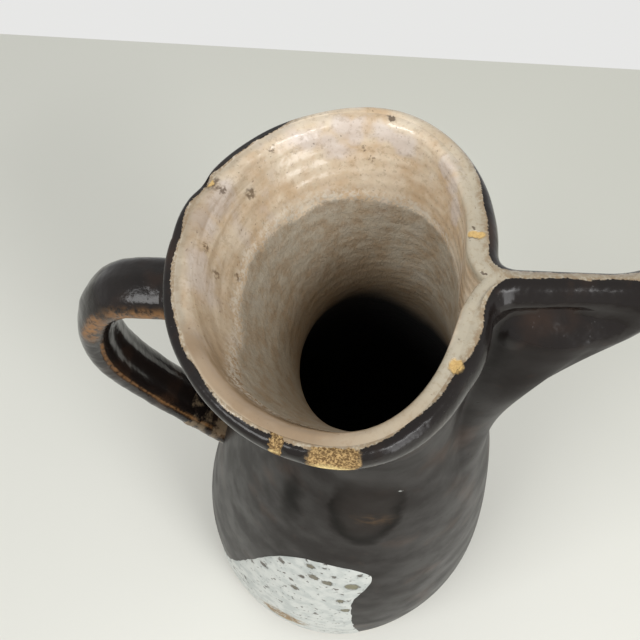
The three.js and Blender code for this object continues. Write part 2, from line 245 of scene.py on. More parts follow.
def beak_drift(x):
    """How far the beak has drifted aside at this distance along the spout."""
    return BEAK_SKEW * max(0, x - MOUTH_FRONT_X)


def round_to_back(front_x, half_width, back):
    """The flat front's end, the side and the back of half the mouth's plan."""
    front = (front_x, FRONT_FLATNESS * half_width)
    side = (lerp(MOUTH_CENTRE.x, front_x, SIDE_FLATNESS), half_width)
    return front, side, arc((MOUTH_CENTRE.x, 0), (back, half_width), 90, 180)


def outer_half_plan():
    bend_x = (SEAM_END_X + TIP_CENTRE_X) / 2
    root = (MOUTH_FRONT_X, SEAM_HALF_WIDTH + BEAK_ROOT_ROUNDING)
    front, side, back = round_to_back(MOUTH_FRONT_X, MOUTH_HALF_WIDTH, MOUTH_BACK)
    return [
        *arc((TIP_CENTRE_X, 0), (TIP_HALF_WIDTH, TIP_HALF_WIDTH), 0, 90),
        *bezier((TIP_CENTRE_X, TIP_HALF_WIDTH), (bend_x, TIP_HALF_WIDTH), (bend_x, SEAM_HALF_WIDTH),
                (SEAM_END_X, SEAM_HALF_WIDTH)),
        *bezier((MOUTH_FRONT_X + BEAK_ROOT_ROUNDING, SEAM_HALF_WIDTH),
                (MOUTH_FRONT_X, SEAM_HALF_WIDTH), root),
        *bezier(root, front, side, back[0]),
        *back,
    ]


def inner_half_plan():
    front_x = MOUTH_FRONT_X - FRONT_LIP_THICKNESS
    flat = (front_x, 2.5 * INNER_NOTCH)
    front, side, back = round_to_back(front_x, MOUTH_HALF_WIDTH - LIP_THICKNESS, MOUTH_BACK - LIP_THICKNESS)
    return [
        *bezier((front_x + INNER_NOTCH, 0), (front_x, INNER_NOTCH), flat),
        *bezier(flat, front, side, back[0]),
        *back,
    ]


def shares_of_half():
    """Share of the half plan before each ring point; the points crowd toward the beak's tip."""
    return (np.arange(HALF_RING + 1) / HALF_RING) ** TIP_CROWDING


def closed_plan(half):
    """A half plan and its mirror image as one ring, anticlockwise from the front."""
    near = evenly(half, shares_of_half())
    far = near[-2:0:-1] * (1, -1)
    plan = np.concatenate([near, far])
    for p in plan:
        p[1] += MOUTH_CENTRE.y * (1 - smoothstep(p[0], MOUTH_CENTRE.x, MOUTH_FRONT_X)) + beak_drift(p[0])
    return plan


def ring_angles():
    half = math.pi * shares_of_half() ** FRONT_SPREAD
    return np.concatenate([half, 2 * math.pi - half[-2:0:-1]])


def pot_profile():
    """Outer outline of the round pot, as radii and heights from the foot up."""
    knots = [(FOOT_RADIUS, 0), (BELLY_RADIUS, BELLY_LEVEL), (UPPER_BELLY_RADIUS, UPPER_BELLY_LEVEL),
             (SHOULDER_RADIUS, SHOULDER_LEVEL), (THROAT_RADIUS, THROAT_LEVEL), (THROAT_RADIUS, LIP_LEVEL)]
    knots = [Vector(k) for k in (knots[0], *knots, knots[-1])]
    line = []
    for a, b, c, d in zip(knots, knots[1:], knots[2:], knots[3:]):
        line += cubic(b, c, (c - a) / 2, (d - b) / 2, PROFILE_STEPS)
    return np.array([*line, knots[-1]])


# Uneven places of the lip: angle round the mouth, reach in degrees, and millimetres moved outward
OUTER_UNEVENNESS = [(-46, 40, -1.2), (16, 26, -1.0), (112, 20, -0.5), (158, 7, -0.7), (132, 18, -0.3),
                    (170, 14, 0.5), (-172, 22, 0.3), (-150, 20, 0.3)]
INNER_UNEVENNESS = [(-44, 36, -0.8), (-10, 24, 0.9), (-120, 30, 0.4)]


def uneven(plan, places):
    """A plan with its lip pushed in and out at these places."""
    for p in plan:
        away = Vector((p[0], p[1])) - MOUTH_CENTRE
        angle = math.degrees(math.atan2(away.y, away.x))
        beak = smoothstep(p[0], MOUTH_FRONT_X - 3, MOUTH_FRONT_X)
        for middle, reach, push in places:
            near = 1 - smoothstep(abs(angle - middle), 0, reach)
            p += np.array(away.normalized()) * push * near * (1 - beak)
    return plan


outer_mouth = uneven(closed_plan(outer_half_plan()), OUTER_UNEVENNESS)
inner_mouth = uneven(closed_plan(inner_half_plan()), INNER_UNEVENNESS)
angles = ring_angles()
profile = pot_profile()


def pot_radius(level):
    return float(np.interp(min(level, LIP_LEVEL), profile[:, 1], profile[:, 0]))


def mouth_share(level, angle):
    """How far the wall has turned from the round neck to the mouth's plan."""
    side = smoothstep(min(angle, 2 * math.pi - angle), *FRONT_ANGLES)
    start = lerp(SPOUT_START, SIDE_FLARE_START, side)
    t = min(max((level - start) / (LIP_LEVEL - start), 0), 1)
    return t ** lerp(FRONT_FLARE, SIDE_FLARE, side)


def spout_swell(level, x):
    """How far the beak's walls stand out round the channel, less the groove under the beak's seam."""
    along = min(max((x - SWELL_START_X) / (TIP_CENTRE_X - SWELL_START_X), 0), 1)
    swell = math.sin(math.pi * along) ** SWELL_SHARPNESS * band(level, SWELL_BELOW, SWELL_ABOVE)
    groove = band(level, GROOVE_BELOW, GROOVE_ABOVE) * band(x, GROOVE_START, GROOVE_END)
    return SPOUT_SWELL * swell - SEAM_GROOVE * groove


def rise_at(level):
    return LIP_RISE * smoothstep(level, RISE_START, RISE_END)


def pot_ring(plan, level, inset, outset):
    """One level of the pot, moved out along its normals, as an array of points."""
    radius = pot_radius(level) - inset
    oval = lerp(1, THROAT_OVAL, smoothstep(level, SHOULDER_LEVEL, THROAT_LEVEL))
    share = np.array([mouth_share(min(level, LIP_LEVEL), a) for a in angles])[:, None]
    around = np.stack([np.cos(angles) * radius, np.sin(angles) * radius * oval], axis=1)
    ring = around + (plan - around) * share
    chord = np.roll(ring, -1, axis=0) - np.roll(ring, 1, axis=0)
    normal = np.stack([chord[:, 1], -chord[:, 0]], axis=1)
    normal /= np.linalg.norm(normal, axis=1)[:, None]
    move = np.full(RING_POINTS, float(outset))
    if plan is outer_mouth:
        move += [spout_swell(level, x) for x in plan[:, 0]]
    moved = ring + normal * move[:, None]
    return np.column_stack([moved, level + rise_at(level) * ring[:, 0]])


def wall_levels(step):
    top = LIP_LEVEL - FUNNEL_TOP_DROP
    return list(np.linspace(BELLY_LEVEL, top, round((top - BELLY_LEVEL) / step)))


def quarter_round(height, depth):
    """A rounded edge: the height left to the top, and how far it has drawn in."""
    turns = [math.pi / 2 * k / (LIP_ROUND_STEPS - 1) for k in range(LIP_ROUND_STEPS)]
    return [(height * (1 - math.sin(a)), depth * (1 - math.cos(a))) for a in turns]


def outside_rings(grow, step):
    """Rings of the pot's outside, from the foot's edge to the lip's crest."""
    foot_edge = 0.3 * FOOT_ROUNDING
    places = [(0, FOOT_ROUNDING, 0), (foot_edge, foot_edge, 0)]
    places += [(level, 0, 0) for level in [*FOOT_LEVELS, *wall_levels(step)]]
    places += [(LIP_LEVEL - drop, 0, roll) for drop, roll in ROLL_ON_THE_WAY_UP]
    crest = quarter_round(LIP_ROUND_HEIGHT, LIP_OUTER_ROUND)
    places += [(LIP_LEVEL - drop, 0, LIP_ROLL - drawn_in) for drop, drawn_in in crest]
    return [pot_ring(outer_mouth, level, inset, out + grow) for level, inset, out in places]


def inside_rings(draw, step):
    """Rings of the pot's inside, from the floor to the lip's crest; draw(level) moves them off the wall."""
    rings = [pot_ring(inner_mouth, FLOOR, WALL + FLOOR_CORNER, -draw(FLOOR)) + (0, 0, draw(FLOOR))]
    for level in [FLOOR + FLOOR_CORNER, *wall_levels(step), *INNER_LIP_LEVELS]:
        rings.append(pot_ring(inner_mouth, level, WALL, -draw(level)))
    for drop, flare in quarter_round(LIP_ROUND_HEIGHT, LIP_INNER_ROUND):
        level = LIP_LEVEL - drop
        rings.append(pot_ring(inner_mouth, level, WALL, flare - draw(level)))
    return rings


def closing_in(rings, *shares):
    """The rings with copies of the first one before them, drawn in to these shares round its middle."""
    first = rings[0]
    middle = first.mean(axis=0)
    return [*(middle + (first - middle) * share for share in shares), *rings]


# Meshes

def draw_rings(mesh, rings):
    """Extrudes a skin from ring to ring. Gives the edges of the first and the last ring."""
    turn = mesh.verts.layers.int.get("turn") or mesh.verts.layers.int.new("turn")
    made = bmesh.ops.create_circle(mesh, segments=len(rings[0]), radius=1)["verts"]
    for i, vert in enumerate(made):
        vert[turn] = i
        vert.co = Vector(rings[0][i]) * MM
    first = list({edge for vert in made for edge in vert.link_edges})
    edges = first
    for ring in rings[1:]:
        grown = bmesh.ops.extrude_edge_only(mesh, edges=edges)["geom"]
        edges = [part for part in grown if isinstance(part, bmesh.types.BMEdge)]
        for vert in (part for part in grown if isinstance(part, bmesh.types.BMVert)):
            vert.co = Vector(ring[vert[turn]]) * MM
    return first, edges


def closed_loft(rings):
    mesh = bmesh.new()
    for edges in draw_rings(mesh, rings):
        bmesh.ops.edgeloop_fill(mesh, edges=edges)
    bmesh.ops.recalc_face_normals(mesh, faces=mesh.faces)
    return mesh


def placed(name, data):
    """Puts a new object with this data into the scene."""
    made = bpy.data.objects.new(name, data)
    bpy.context.scene.collection.objects.link(made)
    return made


def made_object(name, mesh):
    """Turns a bmesh into an object in the scene."""
    data = bpy.data.meshes.new(name)
    mesh.to_mesh(data)
    mesh.free()
    return placed(name, data)


def cut_away(piece, *cutters):
    """Cuts other shapes out of a piece and leaves the result in its mesh."""
    for cutter in cutters:
        cut = piece.modifiers.new("cut", "BOOLEAN")
        cut.operation = "DIFFERENCE"
        cut.solver = "MANIFOLD"
        cut.object = cutter
    bpy.context.view_layer.update()
    evaluated = piece.evaluated_get(bpy.context.evaluated_depsgraph_get())
    result = bpy.data.meshes.new_from_object(evaluated)
    piece.modifiers.clear()
    piece.data = result


def smooth_faces(piece, sharp_angle=48):
    """Shades a piece smooth, with creases where its faces turn sharply."""
    mesh = bmesh.new()
    mesh.from_mesh(piece.data)
    for face in mesh.faces:
        face.smooth = True
    for edge in mesh.edges:
        edge.smooth = edge.calc_face_angle(0) < math.radians(sharp_angle)
    mesh.to_mesh(piece.data)
    mesh.free()


def finish_piece(piece, node, material):
    smooth_faces(piece)
    piece.data.materials.clear()
    piece.data.materials.append(material)
    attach(piece, "root")
    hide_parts(node)


# Glaze line on the lip: angle round the mouth, and how far outside the lip's plan the dark glaze starts
LINE_AT_ANGLE = [(-180, -2.7), (-150, -2.6), (-115, -2.2), (-80, -2.0), (-66, -2.7), (-50, -2.2),
                 (-34, -1.3), (-10, -1.0), (10, -1.5), (40, -1.5), (62, 0.4), (80, 1.3), (112, 1.0),
                 (124, -2.3), (148, -2.6), (153, -1.3), (166, -1.5), (180, -2.7)]
LINE_SLOPE = 0.8
LIP_FLAT_HEIGHT = 3
BEAK_LINE_OUT = 0.4
BEAK_LINE_DROP = 1.5
LINE_ZONE = LIP_ROUND_HEIGHT + 2
DARK_BELOW_LIP = 5.0
CREAM_BELOW_LIP = -20.0


def past_glaze_line(p, below_lip):
    """How far a point has passed from the cream glaze to the dark one; it is negative on the cream."""
    level = p.z - LIP_RISE * p.x
    if level < LIP_LEVEL - LINE_ZONE:
        return below_lip
    plan = Vector((p.x, p.y))
    gaps = outer_mouth - np.array(plan)
    nearest = int((gaps ** 2).sum(axis=1).argmin())
    before = Vector(outer_mouth[nearest - 1])
    chord = Vector(outer_mouth[(nearest + 1) % RING_POINTS]) - before
    outward = Vector((chord.y, -chord.x)).normalized()
    out = (plan - Vector(outer_mouth[nearest])).dot(outward)
    turn = math.degrees(math.atan2(p.y - MOUTH_CENTRE.y, p.x - MOUTH_CENTRE.x))
    lip = out - float(np.interp(turn, *zip(*LINE_AT_ANGLE)))
    lip += math.copysign(LINE_SLOPE, below_lip) * max(0, LIP_LEVEL - level - LIP_FLAT_HEIGHT)
    below_seam = LINE_SLOPE * (LIP_LEVEL - level) - BEAK_LINE_DROP
    beak = max(beak_drift(p.x) - p.y, out - BEAK_LINE_OUT, below_seam)
    return lerp(lip, beak, smoothstep(p.x, MOUTH_FRONT_X - 1, MOUTH_FRONT_X + 5))


def mark_glaze_line(piece, below_lip):
    line = piece.data.attributes.new("past_line", "FLOAT", "POINT")
    for vert in piece.data.vertices:
        line.data[vert.index].value = past_glaze_line(vert.co / MM, below_lip)


# Chips in the lip: place, half sizes along and across the lip, depth, and the way the broken face looks
CHIPS = [
    ((-10.3, -46.4, 247.6), (5.6, 3.0), 1.3, (-0.05, -0.80, 0.60)),
    ((-21.5, -45.2, 247.4), (1.7, 2.6), 0.8, (-0.25, -0.85, 0.45)),
    ((-50.2, 16.5, 246.8), (1.5, 2.0), 0.9, (-0.80, 0.30, 0.55)),
]
CHIP_ROUGHNESS = 0.22
CHIP_GRAIN = 0.8
CHIP_MARGIN = 3


def chip_lip(mesh):
    """Knocks the chips out of the lip's edge: inside a chip the clay is cut back to its broken face."""
    for place, (half_length, half_height), depth, looks in CHIPS:
        centre, outward = Vector(place), Vector(looks).normalized()
        along = outward.cross(Vector((0, 0, 1))).normalized()
        upward = along.cross(outward)
        for vert in mesh.verts:
            offset = vert.co / MM - centre
            reach = math.hypot(offset.dot(along) / half_length, offset.dot(upward) / half_height)
            if reach > 1 or offset.length > 2 * half_length + CHIP_MARGIN:
                continue
            rough = CHIP_ROUGHNESS * noise.noise(vert.co / MM * CHIP_GRAIN)
            limit = -depth * (1 - reach ** 4) + rough
            above = offset.dot(outward) - limit
            if above > 0:
                vert.co -= outward * above * MM


# Pieces

def pot_skin():
    mesh = bmesh.new()
    outside = closing_in(outside_rings(0, FINE_STEP), 0.04, 0.4, 0.8)
    inside = closing_in(inside_rings(lambda level: 0, COARSE_STEP), 0.04, 0.5)
    foot, outer_crest = draw_rings(mesh, outside)
    floor, inner_crest = draw_rings(mesh, inside)
    for edges in (foot, floor):
        bmesh.ops.edgeloop_fill(mesh, edges=edges)
    bmesh.ops.triangle_fill(mesh, use_beauty=True, edges=outer_crest + inner_crest)
    bmesh.ops.recalc_face_normals(mesh, faces=mesh.faces)
    chip_lip(mesh)
    return made_object("pot_skin", mesh)


def channel_cutter(grow):
    lip_at_tip = LIP_LEVEL + LIP_RISE * TIP_CENTRE_X
    route = smooth_line([(x, beak_drift(x), z) for x, z in (
        (MOUTH_FRONT_X - 2.6 * WALL, LIP_LEVEL - 1.25 * CHANNEL_DEPTH),
        (MOUTH_FRONT_X + WALL, LIP_LEVEL - CHANNEL_DEPTH),
        (SEAM_END_X - WALL, LIP_LEVEL - 0.45 * CHANNEL_DEPTH),
        (TIP_CENTRE_X - 1.7 * CHANNEL_HALF_HEIGHT, LIP_LEVEL - 0.15 * CHANNEL_DEPTH),
        (TIP_CENTRE_X - 1, lip_at_tip + CHANNEL_HALF_HEIGHT),
    )])
    shares = np.linspace(0, 1, CHANNEL_SECTIONS)
    rings = []
    for t, (centre, way) in zip(shares, with_directions(evenly(route, shares))):
        size = lerp(1, CHANNEL_TAPER, t)
        rings.append(oval_ring(centre, way, CHANNEL_HALF_WIDTH * size + grow,
                               CHANNEL_HALF_HEIGHT * size + grow, CHANNEL_SIDES))
    return made_object("channel_cutter", closed_loft(rings))


def with_directions(line):
    """Each point of a line with the line's direction there."""
    ways = np.gradient(line, axis=0)
    return [(Vector(p), Vector(w).normalized()) for p, w in zip(line, ways)]


def oval_ring(centre, way, half_width, half_thickness, sides, groove=None):
    """A section across a line in the XZ plane; groove(angle, across) draws its surface in."""
    across = Vector((0, 1, 0))
    out = across.cross(way).normalized()
    ring = []
    for i in range(sides):
        angle = 2 * math.pi * i / sides
        side = math.sin(angle) * half_width
        thickness = math.cos(angle) * half_thickness
        if groove:
            thickness -= math.copysign(groove(angle, side), math.cos(angle))
        ring.append(centre + out * thickness + across * side)
    return np.array(ring)


def lining_skin():
    """The pale glaze inside: a coat on the wall that laps over the lip's crest and ends there."""
    def face(level):
        return lerp(LINING_DEPTH, LINING_LIP_DEPTH, smoothstep(level, *LINING_THINS))

    front = inside_rings(face, FINE_STEP)[:-LIP_ROUND_STEPS]
    for drop, flare in quarter_round(LINING_ROUND, LINING_ROUND):
        level = LIP_LEVEL - (drop - LINING_OVER_CREST)
        front.append(pot_ring(inner_mouth, level, WALL, flare - LINING_LIP_DEPTH))
    front += [pot_ring(inner_mouth, LIP_LEVEL + over, WALL, flare) for over, flare in LINING_LAP]
    rear = inside_rings(lambda level: LINING_BACK, COARSE_STEP)[:-LIP_ROUND_STEPS]
    front, rear = closing_in(front, 0.04, 0.3, 0.65), closing_in(rear, 0.04, 0.5)
    return made_object("lining_skin", closed_loft([*front, *rear[::-1]]))


def back_wall_x(level):
    return float(pot_ring(outer_mouth, level, 0, 0)[HALF_RING][0])


def handle_line():
    """Middle line of the strap, from inside the funnel's wall round the bend to the shoulder."""
    handle_back_x = MOUTH_BACK_X - HANDLE_REACH
    root_wall_x = back_wall_x(HANDLE_ROOT)
    knots = [(back_wall_x(HANDLE_TOP) + WALL, 0, HANDLE_TOP)]
    for k in range(4):
        angle = math.pi / 2 * k / 3
        out = math.sin(angle) ** HANDLE_BEND_POWER
        up = max(math.cos(angle), 0) ** HANDLE_BEND_POWER
        knots.append((MOUTH_BACK_X - HANDLE_REACH * out, 0, HANDLE_TOP - HANDLE_BEND_HEIGHT * (1 - up)))
    knots += [
        (handle_back_x + HANDLE_LEAN, 0.6 * HANDLE_DRIFT, HANDLE_ROOT + HANDLE_BEND_HEIGHT),
        (root_wall_x - STRAP_HALF_THICKNESS, HANDLE_DRIFT, HANDLE_ROOT + STRAP_HALF_WIDTH),
        (root_wall_x + 2 * WALL, HANDLE_DRIFT, HANDLE_ROOT - WALL),
    ]
    return smooth_line(knots)


# Finger grooves along the strap's outer and inner faces: depth, place across it, and width
OUTER_GROOVES = [(0.2, -4, 2), (0.25, 2.5, 2.2)]
INNER_GROOVES = [(1.5, -1.2, 2.8), (0.5, 4, 1.6)]
GROOVED = ((0.02, 0.12), (0.86, 0.97))


def strap_grooves(angle, side, down):
    """Depth of the grooves at this place across the strap; the inner ones deepen on the way down."""
    outer = math.cos(angle) > 0
    grooves = OUTER_GROOVES if outer else INNER_GROOVES
    depth = sum(deep * math.exp(-((side - middle) / width) ** 2) for deep, middle, width in grooves)
    return depth if outer else depth * lerp(0.3, 1, down)


def strap_rings(shares, spread):
    """Sections of the strap at shares of its length, each grown by spread(share)."""
    line = evenly(handle_line(), shares)
    rings = []
    for t, (centre, way) in zip(shares, with_directions(line)):
        down = smoothstep(t, *STRAP_SHAPED)
        width = lerp(1, STRAP_WIDENING, down)
        grow = spread(t)
        grooved = band(t, *GROOVED)
        half_width = STRAP_HALF_WIDTH * width + grow
        half_thickness = STRAP_HALF_THICKNESS * lerp(1, STRAP_THINNING, down) + grow

        def groove(angle, side):
            return grooved * strap_grooves(angle, side / width, down)

        rings.append(oval_ring(centre, way, half_width, half_thickness, STRAP_SIDES, groove))
    return rings


# Lumps of hand-pulled clay: how many to a millimetre, and share
LUMPS = [(0.11, 1), (0.45, 0.3)]


def skewed(piece, height):
    """Turns a handle piece by the handle's skew and gives it lumps up to about this height."""
    for vert in piece.data.vertices:
        place = vert.co / MM
        lump = sum(noise.noise(place * scale) * share for scale, share in LUMPS)
        vert.co += vert.normal * lump * height * MM
    piece.data.transform(Matrix.Rotation(HANDLE_SKEW, 4, "Z"))


# Worn places of the strap: from and to along it, place across it and off its middle, and reach
WORN = [(0.04, 0.22, (-7.8, -1.4), 5.0), (0.25, 0.33, (-8.2, 0), 3.4), (0.36, 0.9, (-7.5, -3.0), 0.8),
        (0.9, 1.1, (-7.4, -1.5), 3.0)]


def mark_worn(piece):
    """Marks where the glaze burnt thin on a handle piece, by place along and across the strap."""
    line = evenly(handle_line(), np.linspace(0, 1, STRAP_SECTIONS))
    guide = with_directions(line)
    unturn = Matrix.Rotation(-HANDLE_SKEW, 3, "Z")
    worn = piece.data.attributes.new("worn", "FLOAT", "POINT")
    for vert in piece.data.vertices:
        place = unturn @ (vert.co / MM)
        nearest = int(((line - np.array(place)) ** 2).sum(axis=1).argmin())
        share = nearest / (STRAP_SECTIONS - 1)
        centre, way = guide[nearest]
        offset = place - centre
        across = Vector((offset.y, offset.dot(Vector((0, 1, 0)).cross(way).normalized())))
        strength = 0.0
        for start, end, middle, reach in WORN:
            near = 1 - smoothstep((across - Vector(middle)).length, 0.4 * reach, reach)
            along = band(share, (start - 0.03, start + 0.02), (end - 0.02, end + 0.03))
            strength = max(strength, near * along)
        worn.data[vert.index].value = strength


def handle_piece(name, shares, spread, lumps, pot_cutter):
    """A part of the handle along these shares of the strap, cut off where it would enter the pot."""
    piece = made_object(name, closed_loft(strap_rings(shares, spread)))
    skewed(piece, lumps)
    cut_away(piece, pot_cutter)
    mark_worn(piece)
    return piece


def lute_skin(name, start, end, spread, pot_cutter):
    """A pad of clay smeared from the strap onto the wall, widest at the wall."""
    def grow(t):
        away = abs(t - start) / abs(end - start)
        end_drop = LUTE_END_DEPTH * smoothstep(away, *LUTE_END)
        return spread * (1 - away) ** LUTE_FALL + LUTE_OVER_STRAP - end_drop

    return handle_piece(name, np.linspace(start, end, LUTE_SECTIONS), grow, LUTE_LUMPS, pot_cutter)


# Patch: its outline as shares of its half angle and height, its heart, its bays, and its rings outward
PATCH_OUTLINE = [
    (-1, 0.03), (-1, 0.1), (-0.93, 0.19), (-0.79, 0.31), (-0.58, 0.5), (-0.33, 0.73), (-0.1, 0.9),
    (0.12, 0.98), (0.34, 1), (0.54, 0.99), (0.68, 0.95), (0.72, 0.88), (0.69, 0.8), (0.67, 0.73),
    (0.71, 0.64), (0.79, 0.5), (0.92, 0.28), (0.99, 0.12), (1, 0.02), (0.5, 0), (0, 0.02), (-0.5, 0),
]
PATCH_HEART = Vector((5, 60))
PATCH_POINTS = 240
BAY_DEPTH = 0.7
BAY_SCALE = 0.22
BAYS_INWARD = 0.4
PATCH_RIM = [(1, -0.15), (0.995, 0.1), (0.985, 0.32), (0.97, 0.45)]
PATCH_BURIED = -0.8
PATCH_THICKNESS = 0.5
PATCH_UNDER = (0.03, 0.5, 0.97)
PATCH_FACE = np.linspace(0.94, 0.02, 30)


def patch_edge():
    """The patch's outline as widths across the belly and heights, with small ragged bays."""
    corners = [(BELLY_RADIUS * math.sin(a * PATCH_HALF_ANGLE), lerp(PATCH_BOTTOM, PATCH_TOP, h))
               for a, h in PATCH_OUTLINE]
    line = smooth_line([(*c, 0) for c in (*corners, corners[0])])
    edge = evenly(line, np.linspace(0, 1, PATCH_POINTS + 1)[:-1])[:, :2]
    ragged = []
    for across, height in edge:
        bay = BAY_DEPTH * noise.noise(Vector((across, height, 0)) * BAY_SCALE)
        away = (Vector((across, height)) - PATCH_HEART).normalized()
        ragged.append(Vector((across, height)) + away * (bay - BAYS_INWARD))
    return ragged


def on_belly(point, lift):
    """A point of the patch laid on the belly, and lifted off it."""
    radius = pot_radius(point.y) + lift
    out = math.sqrt(max(radius ** 2 - point.x ** 2, 1))
    outward = Vector((math.cos(PATCH_MIDDLE_ANGLE), math.sin(PATCH_MIDDLE_ANGLE), 0))
    tangent = Vector((-outward.y, outward.x, 0))
    return tangent * point.x + outward * out + Vector((0, 0, point.y))


def patch_skin():
    edge = patch_edge()

    def ring(share, lift):
        return np.array([on_belly(PATCH_HEART.lerp(p, share), lift) for p in edge])

    under = [ring(share, PATCH_BURIED) for share in PATCH_UNDER]
    rim = [ring(share, lift) for share, lift in PATCH_RIM]
    face = [ring(share, PATCH_THICKNESS) for share in PATCH_FACE]
    return made_object("patch_skin", closed_loft([*under, *rim, *face]))


# Finishes

# Indices of refraction, of a dull surface and of the glazes, and the shares of gloss on the body and the lip
DULL_IOR = 1.08
LINING_IOR = 1.55
POT_IOR = 1.45
PATCH_IOR = 1.45
HANDLE_IOR = 1.34
BODY_GLOSS = 0.45
LIP_GLOSS = 0.64

# Noises that move places aside: scale and detail
SHAKE = (0.9, 2)
SWAY = (0.14, 3)
SHAKE_REACH = 2.2


class Signal:
    """One output of a tree's nodes, used in sums as a number is."""

    def __init__(self, nodes, socket):
        self.nodes = nodes
        self.socket = socket

    def __add__(self, other):
        return self.nodes.math("ADD", self, other)

    def __sub__(self, other):
        return self.nodes.math("SUBTRACT", self, other)

    def __rsub__(self, other):
        return self.nodes.math("SUBTRACT", other, self)

    def __mul__(self, other):
        return self.nodes.math("MULTIPLY", self, other)

    __radd__ = __add__
    __rmul__ = __mul__


class Nodes:
    """A node tree in the making."""

    def __init__(self, tree):
        self.tree = tree
        tree.nodes.clear()

    def node(self, kind, settings, inputs, output=0):
        """Adds a node with these settings and inputs, which are values or signals. Gives one output."""
        made = self.tree.nodes.new(kind)
        for name, value in settings.items():
            setattr(made, name, value)
        for name, value in inputs.items():
            if isinstance(value, Signal):
                self.tree.links.new(value.socket, made.inputs[name])
            else:
                made.inputs[name].default_value = value
        return Signal(self, made.outputs[output]) if made.outputs else None

    def math(self, operation, *values):
        return self.node("ShaderNodeMath", {"operation": operation}, dict(enumerate(values)))

    def vector(self, operation, *values, output=0):
        return self.node("ShaderNodeVectorMath", {"operation": operation}, dict(enumerate(values)), output)


class Finish(Nodes):
    """A material in the making. Places and sizes in it are millimetres."""

    def __init__(self, name):
        self.material = bpy.data.materials.new(name)
        self.material.use_nodes = True
        super().__init__(self.material.node_tree)
        here = self.node("ShaderNodeTexCoord", {}, {}, "Object")
        self.place = self.node("ShaderNodeVectorMath", {"operation": "SCALE"}, {0: here, "Scale": 1 / MM})
        self.x, self.y, self.z = self.parts(self.place)
        self.shaken = self.moved(SHAKE_REACH, *SHAKE)

    def parts(self, vector):
        split = self.node("ShaderNodeSeparateXYZ", {}, {0: vector}).socket.node
        return [Signal(self, socket) for socket in split.outputs]

    def moved(self, reach, scale, detail):
        """Each place moved aside by up to about half this reach, as a noise drifts."""
        inputs = {"Vector": self.place, "Scale": scale, "Detail": detail}
        cloud = self.node("ShaderNodeTexNoise", {}, inputs, "Color")
        aside = self.vector("SUBTRACT", cloud, (0.5, 0.5, 0.5))
        return self.vector("ADD", self.place, self.vector("MULTIPLY", aside, (reach, reach, reach)))

    def stretched(self, *scales):
        """Each place scaled along the axes, for a noise that is longer one way."""
        return self.vector("MULTIPLY", self.place, scales)

    def noise(self, size, detail=2, place=None, roughness=0.5):
        """Cloudy variation from 0 to 1 whose blots are about this size."""
        inputs = {"Vector": place or self.place, "Scale": 1 / size, "Detail": detail, "Roughness": roughness}
        return self.node("ShaderNodeTexNoise", {}, inputs)

    def step(self, value, low, high):
        """0 below low and 1 above high, with a smooth change between; low above high turns it round."""
        inputs = {"Value": value, "From Min": low, "From Max": high}
        return self.node("ShaderNodeMapRange", {"interpolation_type": "SMOOTHSTEP"}, inputs)

    def mix(self, share, first, second):
        """A colour between two."""
        return self.node("ShaderNodeMix", {"data_type": "RGBA"}, {0: share, 6: first, 7: second}, 2)

    def blend(self, share, first, second):
        """A number between two."""
        return self.node("ShaderNodeMix", {"data_type": "FLOAT"}, {0: share, 2: first, 3: second})

    def any_of(self, masks):
        """The strongest of several masks."""
        strongest, *others = masks
        for mask in others:
            strongest = self.math("MAXIMUM", strongest, mask)
        return strongest

    def reach(self, centre, sizes, place):
        """Each place's offset from a centre in these half sizes, and its length."""
        scaled = self.vector("DIVIDE", self.vector("SUBTRACT", place or self.shaken, centre), sizes)
        return scaled, self.vector("LENGTH", scaled, output="Value")

    def spot(self, centre, sizes, soft=0.2, place=None):
        """1 inside an oval spot with these half sizes, or a round one with this radius; 0 outside."""
        sizes = sizes if isinstance(sizes, tuple) else (sizes, sizes, sizes)
        return self.step(self.reach(centre, sizes, place)[1], 1 + soft, 1 - soft)

    def spots(self, spots, soft=0.2, place=None):
        """1 inside any of these spots, 0 outside."""
        return self.any_of([self.spot(*spot, soft, place) for spot in spots])

    def block(self, centre, sizes, soft=0.12):
        """1 inside a ragged block with these half sizes, 0 outside."""
        scaled, length = self.reach(centre, sizes, self.shaken)
        longest = self.any_of(self.parts(self.vector("ABSOLUTE", scaled)))
        return self.step((longest + length) * 0.5, 1 + soft, 1 - soft)

    def attribute(self, name):
        return self.node("ShaderNodeAttribute", {"attribute_name": name}, {}, "Fac")

    def fired(self, colour, roughness, height, ior=1.5, gloss=1.0):
        """Ends the finish: a fired surface, glossy by this share and else dull."""
        bump = self.node("ShaderNodeBump", {}, {"Height": height, "Distance": MM, "Strength": 1.0})
        look = {"Base Color": colour, "Roughness": roughness, "Normal": bump}
        dull = self.node("ShaderNodeBsdfPrincipled", {}, {**look, "IOR": DULL_IOR})
        glossy = self.node("ShaderNodeBsdfPrincipled", {}, {**look, "IOR": ior})
        surface = self.node("ShaderNodeMixShader", {}, {0: gloss, 1: dull, 2: glossy})
        self.node("ShaderNodeOutputMaterial", {}, {"Surface": surface})
        return self.material


def tint(red, green, blue):
    """A colour as a screen shows it, from 0 to 255, made linear for the nodes."""
    shown = (red / 255, green / 255, blue / 255)
    linear = [v / 12.92 if v < 0.04045 else ((v + 0.055) / 1.055) ** 2.4 for v in shown]
    return (*linear, 1.0)


